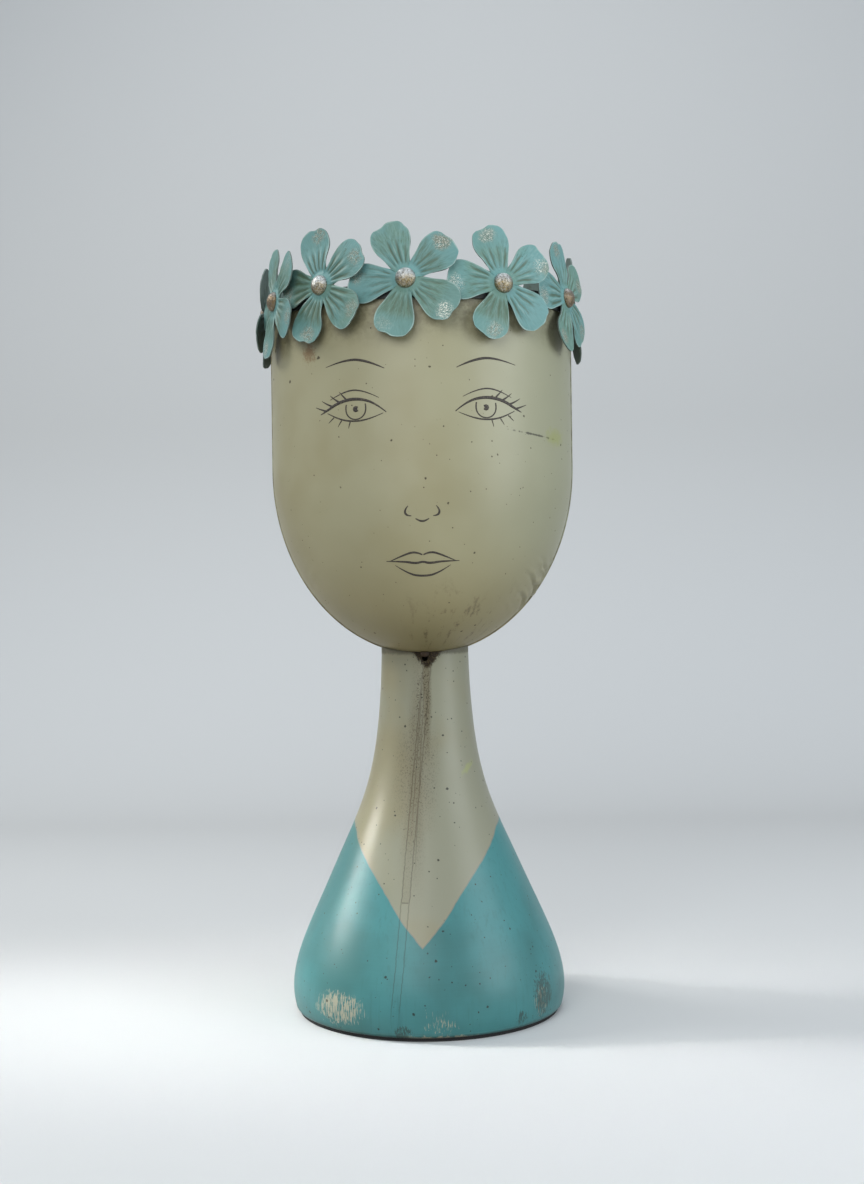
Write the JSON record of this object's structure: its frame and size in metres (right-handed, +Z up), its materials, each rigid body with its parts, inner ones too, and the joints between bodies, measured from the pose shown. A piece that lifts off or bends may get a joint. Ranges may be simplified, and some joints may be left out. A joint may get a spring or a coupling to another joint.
{
  "type": "head planter",
  "caption": "Free-standing painted steel planter: an open round head on a long flared neck, with a crown of stamped sheet flowers round its rim.",
  "frame": {"origin": "on the ground, under the middle of the round base", "axes": "+Z up through the neck and head, the face looks along -Y, +X to the right of someone looking at the face"},
  "size_m": [0.2432, 0.2444, 0.5614],
  "materials": {
    "head_paint": "aged satin cream enamel",
    "shoulder_paint": "aged satin teal enamel, cream on the neck",
    "petal_patina": "rubbed verdigris",
    "bead_silver": "speckled silver and gold",
    "band_dark": "dark and dull",
    "base_dark": "dark and dull",
    "weld_rust": "rusted weld metal"
  },
  "bodies": {
    "root": {"head_front_shell": "head_paint", "head_back_shell": "head_paint", "crown_band": "band_dark", "flower_01": "petal_patina", "flower_02": "petal_patina", "flower_03": "petal_patina", "flower_04": "petal_patina", "flower_05": "petal_patina", "flower_06": "petal_patina", "flower_07": "petal_patina", "flower_08": "petal_patina", "flower_09": "petal_patina", "flower_10": "petal_patina", "flower_11": "petal_patina", "flower_beads": "bead_silver", "bust_front_shell": "shoulder_paint", "bust_back_shell": "shoulder_paint", "base_plate": "base_dark", "neck_welds": "weld_rust"}
  },
  "joints": []
}
